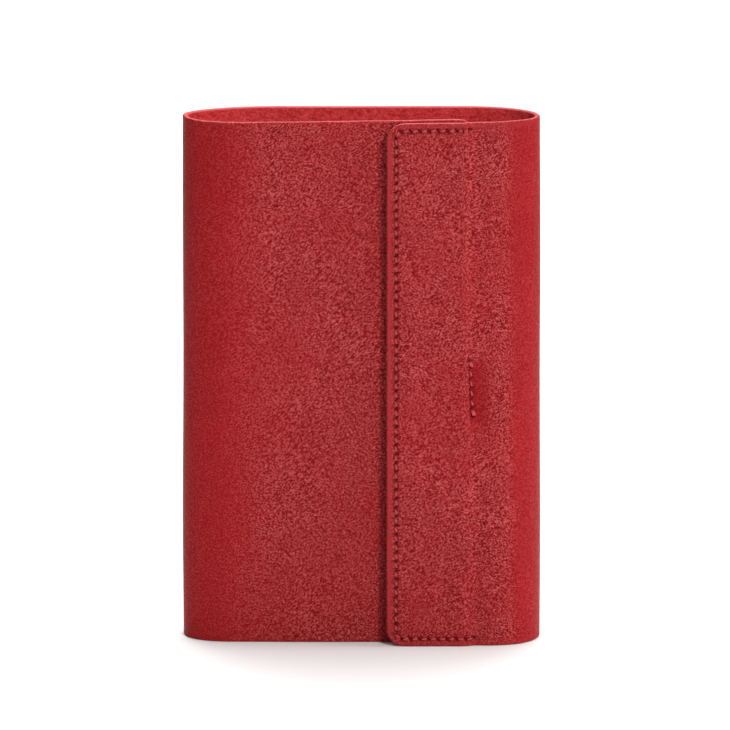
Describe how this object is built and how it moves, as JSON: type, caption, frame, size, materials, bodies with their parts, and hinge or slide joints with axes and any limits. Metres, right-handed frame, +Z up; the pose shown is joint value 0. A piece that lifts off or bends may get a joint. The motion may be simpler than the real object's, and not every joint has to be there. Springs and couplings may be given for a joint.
{
  "type": "pocket notebook",
  "caption": "Slim leather notebook wrap that holds a paper notebook and closes with a magnetic flap folded over the front from the fore-edge.",
  "frame": {"origin": "bottom centre of the box, under the standing notebook", "axes": "+Z up the spine, +X from the spine towards the fore-edge, -Y out of the front"},
  "size_m": [0.103, 0.0266, 0.154],
  "materials": {
    "wrap_leather": "fine grain, semi-matt",
    "lining_leather": "suede",
    "thread": "waxed",
    "magnet": "plated",
    "keeper_steel": "brushed",
    "cover_card": "matt",
    "paper": "matt"
  },
  "bodies": {
    "back_cover": {"back_panel": "wrap_leather", "back_pocket": "lining_leather", "pocket_seam_thread": "thread", "insert_back_cover": "cover_card", "back_endpaper": "paper", "signature_4": "paper", "signature_5": "paper", "signature_6": "paper"},
    "spine": {"spine_panel": "wrap_leather"},
    "front_cover": {"front_panel": "wrap_leather", "front_facing": "lining_leather", "facing_seam_thread": "thread", "keeper_plate_lower": "keeper_steel", "keeper_plate_upper": "keeper_steel"},
    "front_leaves": {"insert_front_cover": "cover_card", "front_endpaper": "paper", "signature_1": "paper", "signature_2": "paper", "signature_3": "paper"},
    "fore_edge": {"fore_edge_panel": "wrap_leather"},
    "flap": {"flap_panel": "wrap_leather", "flap_lining": "lining_leather", "flap_seam_thread": "thread", "flap_tack_thread": "thread", "flap_magnet_lower": "magnet", "flap_magnet_upper": "magnet"}
  },
  "joints": [
    {"name": "cover_opening", "type": "hinge", "parent": "back_cover", "child": "spine", "pos_m": [-0.04741, 0.00785, 0], "axis": [0, 0, -1], "range_deg": [0, 90]},
    {"name": "front_fold", "type": "hinge", "parent": "spine", "child": "front_cover", "pos_m": [-0.04892, -0.00476, 0], "axis": [0, 0, -1], "range_deg": [0, 90]},
    {"name": "leaves_turn", "type": "hinge", "parent": "back_cover", "child": "front_leaves", "pos_m": [-0.04565, 0.0017, 0], "axis": [0, 0, -1], "range_deg": [0, 180]},
    {"name": "fore_edge_fold", "type": "hinge", "parent": "back_cover", "child": "fore_edge", "pos_m": [0.04761, 0.00821, 0], "axis": [0, 0, 1], "range_deg": [0, 90]},
    {"name": "flap_fold", "type": "hinge", "parent": "fore_edge", "child": "flap", "pos_m": [0.04823, -0.00733, 0], "axis": [0, 0, 1], "range_deg": [0, 90]}
  ],
  "couplings": [
    {"joint": "front_fold", "follows": "cover_opening", "ratio": 1},
    {"joint": "leaves_turn", "follows": "cover_opening", "ratio": 2}
  ]
}
